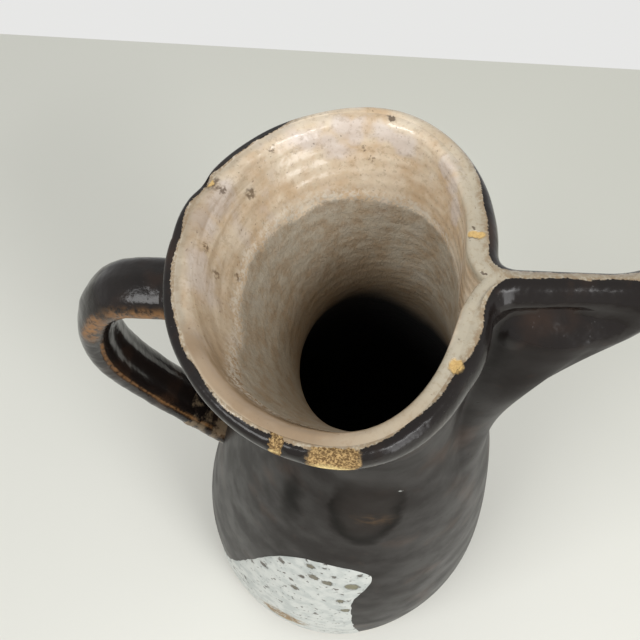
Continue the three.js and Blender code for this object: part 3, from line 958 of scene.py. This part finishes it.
BLACK_BROWN = tint(24, 19, 17)
WARM_BROWN = tint(54, 38, 28)
# Brown of the body's painted dark reflection
REFLECTION_BROWN = tint(33, 28, 25)
# Brown of stains and dots, also used for painted shade inside the lining
STAIN_AND_SHADE_BROWN = tint(84, 66, 48)
EDGE_STAIN = tint(136, 112, 82)
RUST = tint(156, 112, 66)
OCHRE = tint(206, 174, 112)
BUFF = tint(182, 152, 106)
CLAY_BROWN = tint(92, 70, 46)
THIN_ON_CLAY = tint(150, 130, 104)
SAND = tint(244, 222, 160)
CREAM = tint(224, 210, 188)
PEACH = tint(200, 174, 142)
CRAZED_CREAM = tint(210, 198, 172)
LAVENDER = tint(216, 207, 202)
# Crest tone used toward the left, lighter for a painted highlight
CREST_LEFT_HIGHLIGHT = tint(188, 180, 162)
PALE_CREST = tint(174, 166, 147)
SCUM = tint(226, 219, 205)
SILT = tint(156, 148, 132)
# Brown of the silt, also used for painted shade inside the lining
SILT_AND_SHADE_BROWN = tint(134, 112, 84)
# Near black for painted shade in the throat and for the rim of the body's painted reflection
PAINTED_DARK = tint(12, 9, 7)
PITTED_WHITE = tint(191, 194, 190)
MILKY = tint(173, 178, 175)
PIT_BROWN = tint(70, 60, 48)
OLIVE = tint(104, 98, 68)
TABLE_NEAR = tint(227, 227, 220)
# The far and left table tones are darker, painted shade
TABLE_FAR_SHADED = tint(206, 207, 198)
TABLE_LEFT_SHADED = tint(204, 205, 198)

# The body's painted dark reflection, a U-shaped patch hanging from the neck, with its heart, a smaller dark
# smear beside it, a brown streak in the patch, and a white fleck
DARK_REFLECTION = ((2.8, -37, 175.5), (10.8, 12, 26))
DARK_REFLECTION_HEART = (DARK_REFLECTION[0], tuple(half * 0.76 for half in DARK_REFLECTION[1]))
SMALL_DARK_SMEAR = ((-20, -37, 168), (3.2, 6, 15))
BROWN_STREAK = ((6.1, -38.7, 172), (5, 4, 3))
WHITE_FLECK = ((10.3, -33.6, 189.7), (0.6, 0.6, 0.5))


def dark_glaze(f):
    """Nearly black brown glaze: browner where it ran thin, with the faint rings of throwing under it."""
    thin = f.step(f.noise(17, 3), 0.54, 0.74)
    cloud = f.noise(4.5, 3)
    colour = f.mix(thin * 0.7, BLACK_BROWN, WARM_BROWN)
    colour = f.mix(f.step(cloud, 0.6, 0.8) * 0.3, colour, WARM_BROWN)
    waves = f.math("SINE", f.z * 0.5 + f.noise(40, 1) * 5)
    specks = f.step(f.noise(0.9, 1), 0.72, 0.8)
    relief = waves * 0.03 + f.noise(14, 1) * 0.3 - specks * 0.03
    roughness = 0.32 + f.noise(12, 2) * 0.2 + specks * 0.15
    return colour, roughness, relief


# Thick runs and pools of the lining's glaze, as places and half sizes
POOLS = [
    ((-47.5, 12.5, 245), (4, 3.5, 4.5)), ((-48.5, 6, 244.8), (4, 3.2, 4)), ((-47.6, -3.5, 243.6), (4, 3, 5)),
    ((-46.6, 16, 245.3), (3, 3, 4)), ((-19.5, 40, 247.4), (4, 4, 2.2)), ((-7.7, 38.7, 246), (4.5, 4, 2.6)),
    ((-11, 39.6, 247), (4, 4, 2.2)), ((5.5, 30.5, 250), (3, 2.2, 3)), ((6.8, 26.5, 248), (3.4, 2.2, 4.5)),
    ((8.6, 22.6, 244), (3.4, 2.2, 4)), ((-30, 35, 246), (6, 4, 3)), ((-24, 37, 243), (5, 3, 3)),
    ((-47, -8, 240), (4, 6, 6)),
]


def crest_tint(f, colour):
    """The paler glaze along the lip's crest, in a band that widens toward the beak."""
    width = 2.0 + 2.8 * f.step(f.x, -20, 6)
    past = f.attribute("past_line") + (f.noise(3, 2) - 0.5) * 1.5
    # Toward the left and the far side the band is fainter and its tone lighter: a painted highlight
    share = 0.4 + 0.5 * f.any_of([f.step(f.y, 34, 8), f.step(f.x, 4, 14)])
    crest = f.step(past, -0.8 - width, 0.6 - width) * share
    return f.mix(crest, colour, f.mix(f.step(f.x, -22, 4), CREST_LEFT_HIGHLIGHT, PALE_CREST))


def streaks_and_painted_shade(f, colour, level):
    """Brown streaks of painted shade on the near side and at the back, short of the lip's crest, and a
    darker painted band just under the crest on the near side.
    """
    off_crest = f.step(f.attribute("past_line") + (f.noise(3, 2) - 0.5) * 0.8, -0.3, -1.1)
    near_side = f.step(f.y, -10, -34) * f.step(f.x, 0, -22)
    at_back = f.step(f.x, -30, -48)
    streaks = f.step(f.noise(2.2, 4, f.stretched(0.16, 0.16, 1.1)), 0.4, 0.62)
    # Painted shade in brown streaks, strongest on the near side and fainter at the back
    streaked_shade = f.any_of([near_side * 0.95, at_back * 0.42]) * off_crest * (0.55 + 0.9 * streaks)
    colour = f.mix(streaked_shade, colour, SILT_AND_SHADE_BROWN)
    # A darker band just under the crest on the near side, also painted shade
    return f.mix(near_side * off_crest * f.step(level, 244, 249) * 0.55, colour, STAIN_AND_SHADE_BROWN)


def cream_glaze(f):
    """Cream glaze, peach where it is thin and lavender where it pooled and ran, with throwing rings."""
    level = f.z - f.x * LIP_RISE
    fine = f.noise(2.2, 4, roughness=0.65)
    colour = f.mix(f.step(f.noise(11, 4, roughness=0.6), 0.34, 0.68), CREAM, PEACH)
    colour = f.mix(f.step(fine, 0.45, 0.72) * 0.35, colour, CRAZED_CREAM)
    washed = f.step(f.noise(7, 3, f.stretched(1, 1, 0.45)), 0.54, 0.72)
    pooled = f.any_of([f.spots(POOLS, 0.45, f.moved(9, *SWAY)) * 0.65, washed * 0.4])
    colour = f.mix(pooled, colour, LAVENDER)
    # The crest's tint with its painted highlight, then the painted shade
    colour = streaks_and_painted_shade(f, crest_tint(f, colour), level)
    mottled = f.step(f.noise(1.3, 3, roughness=0.7), 0.5, 0.68)
    colour = f.mix(mottled * 0.3, colour, EDGE_STAIN)
    speckles = f.step(f.noise(0.9, 1), 0.7, 0.78)
    colour = f.mix(speckles * 0.5, colour, STAIN_AND_SHADE_BROWN)
    rings = f.math("SINE", level * 1.9 + f.noise(26, 1) * 2.4)
    relief = rings * 0.04 + f.noise(9, 2) * 0.8 + f.noise(3.2, 2) * 0.16 + f.noise(1.3, 2) * 0.05
    return colour, 0.32 + fine * 0.1, relief + pooled * 0.1 - speckles * 0.03


# Brown stains inside, as places and half sizes
INSIDE_SPOTS = [
    ((-40.7, 19.8, 241.1), (2.5, 1.6, 1.3)), ((-47.4, 1, 243.1), (2.5, 1, 1.2)),
    ((-49.2, 16.5, 246.6), (1.6, 1.8, 1.6)), ((-47.2, 15.8, 245.7), (1.2, 1, 1)),
    ((-39.7, 0.1, 232.9), (3, 0.9, 0.9)), ((-43.2, -3.2, 238.7), (3, 1.1, 1.1)),
    ((-16, 36.7, 242.9), (0.8, 3, 0.8)), ((-13.3, 36, 240.3), (0.7, 3, 0.7)), ((-38.1, 29.9, 246.1), 0.8),
]

# Tide mark inside: its height on the axis, its fall toward the beak, its rise on the near side, its wander
TIDE_LEVEL = 229.4
TIDE_FALL = 0.04
TIDE_RISE = 13
TIDE_WANDER = 5

# How much further below the tide mark the throat's painted shade starts on the right and on the near side
DARK_LOWER_RIGHT = 16
DARK_LOWER_NEAR = 14


def used_lining(f):
    """The lining with its tide mark, the silt below it, and painted shade that turns it brown and then near
    black deeper in the throat.
    """
    colour, roughness, relief = cream_glaze(f)
    stains = f.spots(INSIDE_SPOTS, 0.35) * f.step(f.noise(0.8, 3), 0.34, 0.56)
    colour = f.mix(stains * 0.8, colour, STAIN_AND_SHADE_BROWN)
    wander = (f.noise(9, 3) - 0.5) * TIDE_WANDER
    depth = TIDE_LEVEL - f.x * TIDE_FALL + f.step(f.y, -10, -38) * TIDE_RISE + wander - f.z
    # Grime above the tide mark, much stronger on the near side, where the darkening is painted shade
    grime_and_near_shade = f.step(depth, -16, -1) * (0.12 + 0.5 * f.step(f.y, 5, -30))
    colour = f.mix(grime_and_near_shade, colour, PEACH)
    colour = f.mix(grime_and_near_shade * 0.4, colour, STAIN_AND_SHADE_BROWN)
    grains = f.step(f.noise(1.1, 3, roughness=0.7), 0.44, 0.6)
    tide = f.step(depth, -4, -1) * f.step(depth, 2.5, 0) * grains
    colour = f.mix(tide * 0.6, colour, SCUM)
    silt = f.step(depth, -2, 1.5) * f.step(grains + f.step(depth, -1, 2), 0.3, 0.9)
    silted = f.mix(f.step(f.noise(4, 5, roughness=0.65), 0.38, 0.66) * 0.75, SILT, SILT_AND_SHADE_BROWN)
    colour = f.mix(silt * 0.82, colour, silted)
    # Painted shade: deeper in the pot the lining is painted brown and then near black, starting lower on the
    # right and the near side
    shade = depth - f.step(f.x, -14, 14) * DARK_LOWER_RIGHT - f.step(f.y, -2, -16) * DARK_LOWER_NEAR
    colour = f.mix(f.step(shade, 9, 28) * 0.6, colour, SILT_AND_SHADE_BROWN)
    colour = f.mix(f.step(shade, 29, 47), colour, PAINTED_DARK)
    dull = silt * 0.45 + f.step(shade, 20, 40) * 0.3
    return colour, roughness - 0.2 + dull, relief + silt * grains * 0.1


# Lumps on the beak, breaks in the lip and their bright parts, dots and ochre chips, as places and sizes
SPOUT_LUMPS = [((24.8, -8.2, 240), 2.1), ((21.9, -8.6, 239), 1.1)]
LIP_BARE = [((-10.1, -46, 248.2), (5.3, 4.6, 4.8)), ((-21.8, -44.6, 248.6), (1.35, 4, 3.8))]
BRIGHT_BREAKS = [((-9, -48, 245.8), (7, 2.4, 1.5)), ((-22.6, -46.4, 247), (1.8, 1.6, 1.6))]
LIP_DOTS = [((-10.2, 42.6, 249.8), 1.1), ((12.3, 12.6, 252.3), 0.45), ((11.6, 9.6, 252.3), 0.4),
            ((15.4, 1, 252.4), 0.45), ((10.6, -5.2, 252.2), 0.35), ((9.6, -11.8, 252), 0.45)]
OCHRE_CHIPS = [((11.2, -22, 252), (1.5, 1.6, 1.6)), ((12.8, 10.9, 252.3), (2.3, 1.0, 1.6)),
               ((-50.2, 16.5, 246.8), (1.0, 1.3, 1.0))]


def clay_grains(f):
    return f.step(f.noise(0.5, 3, roughness=0.7), 0.42, 0.6)


def chipped(f, colour, roughness, relief):
    """A glaze with the lip's brown dots and ochre chips in it."""
    dots = f.spots(LIP_DOTS)
    ochre = f.spots(OCHRE_CHIPS, 0.2, f.moved(SHAKE_REACH / 2, *SHAKE))
    colour = f.mix(dots * 0.85, colour, STAIN_AND_SHADE_BROWN)
    colour = f.mix(ochre, colour, f.mix(clay_grains(f) * 0.35, OCHRE, RUST))
    broken = f.any_of([dots, ochre])
    return colour, roughness + broken * 0.4, relief - dots * 0.25 - ochre * 0.3


def body_marks(f, dark):
    """The dark glaze with its painted dark reflection and a smaller dark smear, their rims painted near
    black, the brown streak and the fleck, and the masks of the reflection and smear and of their rims.
    """
    swayed = f.moved(5, *SWAY)
    # The large patch is a painted dark reflection in brown; the small one is a dark smear beside it
    reflection_and_smear = f.any_of([f.spot(*DARK_REFLECTION, 0.12, swayed), f.spot(*SMALL_DARK_SMEAR, 0.7, swayed) * 0.95])
    # Their rims are painted near black, the outline of the painted reflection
    rim = reflection_and_smear * (1 - f.spot(*DARK_REFLECTION_HEART, 0.35, swayed)) * f.step(f.z, 202, 172)
    reflection_and_smear = reflection_and_smear * f.step(f.z, 204, 186)
    dark = f.mix(rim, f.mix(reflection_and_smear * 0.85, dark, REFLECTION_BROWN), PAINTED_DARK)
    # A brown streak inside the painted reflection
    run = f.spot(*BROWN_STREAK, 0.9) * f.step(f.noise(2.2, 3, f.stretched(0.6, 1, 1.4)), 0.34, 0.72)
    dark = f.mix(run * 0.5, dark, CLAY_BROWN)
    return f.mix(f.spot(*WHITE_FLECK, 0.5) * 0.6, dark, PITTED_WHITE), reflection_and_smear, rim


def body_gloss(f, reflection_and_smear, rim):
    """How glossy the body is: cloudy, most at the sides, and dulled on the painted reflection and smear and
    under the beak.
    """
    clouded = 0.75 + 0.5 * f.step(f.noise(13, 4, roughness=0.6), 0.35, 0.65)
    sides = f.step(f.math("ABSOLUTE", f.x), 8, 45)
    under_beak = f.step(f.x, 21, 33) * f.step(f.z, 200, 222)
    dulled = (1 - reflection_and_smear * 0.5) * (1 - rim * 0.7) * (1 - under_beak * 0.6)
    return BODY_GLOSS * clouded * (0.86 + sides) * dulled


def broken_lip(f, past):
    """Where the lip's clay is bare, the clay's colour, and how deep its grain is."""
    bare = f.any_of([f.block(*place) for place in LIP_BARE]) * f.step(past, -0.9, -0.6)
    bright = f.spots(BRIGHT_BREAKS, 0.4)
    grains = clay_grains(f)
    clay = f.mix(grains * 0.9 * (1 - bright), BUFF, CLAY_BROWN)
    return bare, f.mix(bright, clay, SAND), bare * (0.1 + grains * 0.12)


def pot_finish():
    """Dark glaze outside and cream glaze over the lip, with its chips, and bare clay under the foot."""
    f = Finish("dark_glaze_pot")
    dark, dark_rough, dark_relief = dark_glaze(f)
    dark, reflection_and_smear, rim = body_marks(f, dark)
    cream, cream_rough, cream_relief = cream_glaze(f)
    wander = (f.noise(9, 2) - 0.5) * 2.2 + (f.noise(0.7, 3, roughness=0.7) - 0.5) * 1.2
    past = f.attribute("past_line") + wander
    is_dark = f.step(past, -0.08, 0.08)
    edge = f.step(past, -2, -0.2) * f.step(f.noise(1.3, 3, roughness=0.7), 0.32, 0.56)
    on_lip = f.step(f.z, 236, 243)
    bare, clay, grain_depth = broken_lip(f, past)
    unglazed = f.step(f.z + (f.noise(6, 2) - 0.5) * 1.5, 1.6, 1.0)
    broken = f.any_of([bare, unglazed])
    colour = f.mix(is_dark, f.mix(edge * 0.75, cream, EDGE_STAIN), dark)
    colour = f.mix(unglazed, f.mix(bare, colour, clay), BUFF)
    roughness = f.blend(is_dark, cream_rough, dark_rough) * (1 - on_lip * 0.5) + broken * 0.4
    relief = f.blend(is_dark, cream_relief + 0.1, dark_relief + on_lip * f.noise(4, 2) * 0.3)
    relief = relief + f.spots(SPOUT_LUMPS, 0.95, f.place) * 0.8 - grain_depth
    gloss = f.blend(is_dark, 1, f.blend(on_lip, body_gloss(f, reflection_and_smear, rim), LIP_GLOSS)) * (1 - broken)
    return f.fired(*chipped(f, colour, roughness, relief), POT_IOR, gloss)


def lining_finish():
    f = Finish("cream_glaze_lining")
    return f.fired(*chipped(f, *used_lining(f)), LINING_IOR)


def handle_finish(name, clay_share=0.0):
    """Dark glaze, burnt to rust where the strap is marked as worn, and thin over a pad of clay."""
    f = Finish(name)
    colour, roughness, relief = dark_glaze(f)
    worn = f.attribute("worn") * f.step(f.noise(2.2, 4, roughness=0.65), 0.3, 0.62)
    colour = f.mix(worn * 0.7, colour, RUST)
    if clay_share:
        thin = f.step(f.noise(5, 4, roughness=0.6), 0.42, 0.6) * clay_share
        colour = f.mix(thin, colour, THIN_ON_CLAY)
    relief = relief + f.noise(1.6, 3) * 0.12 - worn * 0.05
    return f.fired(colour, roughness * 0.45 + worn * 0.3, relief, HANDLE_IOR)


# Pits in the patch: place, half width, and share of olive glaze in them; then the place scraped bare
PITS = [
    ((-27.5, -48.6, 101), 1.5, 0), ((-20.5, -48.4, 117.1), 1.4, 0), ((-9.9, -49.4, 126), 1.5, 0.5),
    ((-5.1, -48.6, 131.8), 0.8, 0), ((-0.5, -49.1, 131.9), 0.7, 0), ((1.8, -48.6, 131.8), 0.7, 0),
    ((-8.1, -51.7, 117.6), 1.9, 0.4), ((-12.4, -51.7, 113.6), 1.3, 0), ((-2.8, -52.6, 115.8), 1.9, 0.5),
    ((-1, -51.1, 123.2), 0.9, 0), ((7.7, -49.6, 126.8), 0.9, 0), ((-14.3, -54.4, 99.2), 1.7, 0.3),
    ((6.2, -52.4, 115.9), 2.6, 1), ((3.7, -56.1, 98.8), 1.6, 0.7), ((6.8, -58, 87.8), 1.9, 0.8),
]
SCRAPED = ((-17.9, -60.8, 42), (11, 9, 12))


def patch_finish():
    """Thick white glaze full of pits, some with olive pools, and scraped to the clay at one place."""
    f = Finish("white_glaze_patch")
    milky = f.step(f.noise(6, 4), 0.4, 0.64)
    colour = f.mix(milky, PITTED_WHITE, MILKY)
    pits = f.spots([(place, (size, size * 1.8, size * 1.1)) for place, size, _ in PITS], 0.25)
    rims = f.spots([(place, (size * 1.5, size * 2.2, size * 1.6)) for place, size, _ in PITS], 0.25) - pits
    olive = [f.spot(place, (size, size * 1.8, size)) * share for place, size, share in PITS if share]
    craters = f.step(f.noise(3.4, 2), 0.665, 0.7)
    pinholes = f.step(f.noise(1.5, 1), 0.69, 0.74)
    holes = f.any_of([pits, craters * 0.9, pinholes * 0.7])
    colour = f.mix(holes * 0.88, colour, f.mix(f.any_of(olive), PIT_BROWN, OLIVE))
    bare = f.spot(*SCRAPED, 0.3) * f.step(f.noise(3.4, 4, roughness=0.65), 0.4, 0.5)
    colour = f.mix(bare, colour, f.mix(f.noise(2, 3), STAIN_AND_SHADE_BROWN, BUFF))
    relief = rims * 0.25 - holes * 0.6 + f.noise(3, 3) * 0.5 - bare * 0.3
    return f.fired(colour, 0.35 + milky * 0.12 + holes * 0.2 + bare * 0.3, relief, PATCH_IOR)


# Stage, lamps and camera

# Where the table's far edge runs, in metres, and half the table's size
TABLE_EDGE = (Vector((-0.247, 0.308, 0)), Vector((0.114, 0.361, 0)))
TABLE_HALF = 1.5


def floor():
    """A pale table whose far edge lies where the photograph's table ends."""
    edge_start, edge_end = TABLE_EDGE
    along = (edge_end - edge_start).normalized()
    toward = Vector((along.y, -along.x, 0))
    mesh = bmesh.new()
    bmesh.ops.create_grid(mesh, x_segments=1, y_segments=1, size=TABLE_HALF)
    turn = Matrix((along, -toward, Vector((0, 0, 1)))).transposed().to_4x4()
    bmesh.ops.transform(mesh, matrix=turn, verts=mesh.verts)
    bmesh.ops.translate(mesh, vec=edge_start + toward * TABLE_HALF, verts=mesh.verts)
    made = made_object("floor", mesh)
    f = Finish("pale_table")
    cloud = f.noise(60, 3)
    # Painted shade: the table is darker toward its far edge and toward the left
    colour = f.mix(f.step(f.y + cloud * 40, -80, 340), TABLE_NEAR, TABLE_FAR_SHADED)
    colour = f.mix(f.step(f.x, -20, -200) * 0.6, colour, TABLE_LEFT_SHADED)
    made.data.materials.append(f.fired(colour, 0.6 + cloud * 0.1, f.noise(1.5, 2) * 0.02))


BACKDROP = (0.8, 0.8, 0.79, 1)
SOFT_WHITE = (1.0, 0.99, 0.97, 1)
WORLD_STRENGTH = 0.6

# Lamps: name, direction from the mouth, distance, width and height in metres, and watts
LAMPS = [
    ("window_lamp", (0.72, -0.6, 0.36), 1.2, 0.42, 1.25, 7.3),
    ("top_lamp", (0.6, -0.45, 0.66), 1.2, 0.7, 0.09, 2.2),
    ("soft_lamp", (-0.54, -0.5, 0.68), 1.1, 0.55, 0.45, 6),
]


def studio_light():
    """Even white light all round, and a pale backdrop for the camera and for what the glazes mirror."""
    world = bpy.data.worlds.new("studio")
    world.use_nodes = True
    sky = Nodes(world.node_tree)
    seen = sky.node("ShaderNodeLightPath", {}, {}, "Is Camera Ray")
    for ray in ("Is Glossy Ray", "Is Transmission Ray"):
        seen = sky.math("MAXIMUM", seen, sky.node("ShaderNodeLightPath", {}, {}, ray))
    light = sky.node("ShaderNodeBackground", {}, {"Color": SOFT_WHITE, "Strength": WORLD_STRENGTH})
    backdrop = sky.node("ShaderNodeBackground", {}, {"Color": BACKDROP})
    both = sky.node("ShaderNodeMixShader", {}, {0: seen, 1: light, 2: backdrop})
    sky.node("ShaderNodeOutputWorld", {}, {"Surface": both})
    bpy.context.scene.world = world


def lamp(name, toward, distance, width, height, power):
    """A soft lamp in this direction from the jug's mouth, turned to it."""
    data = bpy.data.lights.new(name, "AREA")
    data.shape = "RECTANGLE"
    data.size = width
    data.size_y = height
    data.energy = power
    mouth = Vector((MOUTH_CENTRE.x, MOUTH_CENTRE.y, LIP_LEVEL)) * MM
    way = Vector(toward).normalized()
    made = placed(name, data)
    made.location = mouth + way * distance
    made.rotation_mode = "QUATERNION"
    made.rotation_quaternion = (-way).to_track_quat("-Z", "Y")


# Where the photograph was taken from, in the jug's own frame, and how the camera was turned
CAMERA_PLACE = Vector((-12.22, -82.74, 382.21))
CAMERA_RIGHT = Vector((0.9839, 0.1731, 0.0449))
CAMERA_UP = Vector((-0.1747, 0.8761, 0.4493))
SENSOR_WIDTH = 36
LENS = 39.375
NEAR_CLIP = 0.01


def camera():
    data = bpy.data.cameras.new("camera")
    data.sensor_width = SENSOR_WIDTH
    data.lens = LENS
    data.clip_start = NEAR_CLIP
    made = placed("camera", data)
    right = CAMERA_RIGHT.normalized()
    back = right.cross(CAMERA_UP.normalized()).normalized()
    turn = Matrix((right, back.cross(right), back)).transposed().to_4x4()
    made.matrix_world = Matrix.Translation(CAMERA_PLACE * MM) @ turn
    bpy.context.scene.camera = made


# The jug

buried_pot = made_object("buried_pot", closed_loft(outside_rings(-BURIED, CUTTER_STEP)))
pot_channel = channel_cutter(0)
lining_channel = channel_cutter(LINING_BACK)

pot = pot_skin()
cut_away(pot, pot_channel)
mark_glaze_line(pot, DARK_BELOW_LIP)
finish_piece(pot, "pot", pot_finish())

lining = lining_skin()
cut_away(lining, lining_channel)
mark_glaze_line(lining, CREAM_BELOW_LIP)
finish_piece(lining, "cream_lining", lining_finish())

patch = patch_skin()
finish_piece(patch, "white_patch", patch_finish())

strap = handle_piece("strap_skin", np.linspace(0, 1, STRAP_SECTIONS), lambda t: -STRAP_TRIM, STRAP_LUMPS,
                     buried_pot)
finish_piece(strap, "handle_strap", handle_finish("handle_glaze_strap"))

top_lute = lute_skin("top_lute_skin", *TOP_LUTE, buried_pot)
finish_piece(top_lute, "handle_top_lute", handle_finish("handle_glaze_top"))

root_lute = lute_skin("root_lute_skin", *ROOT_LUTE, buried_pot)
finish_piece(root_lute, "handle_root_lute", handle_finish("handle_glaze_root", 0.6))

for cutter in (buried_pot, pot_channel, lining_channel):
    bpy.data.objects.remove(cutter)

bpy.context.scene.view_settings.view_transform = "Standard"
floor()
studio_light()
for each in LAMPS:
    lamp(*each)
camera()
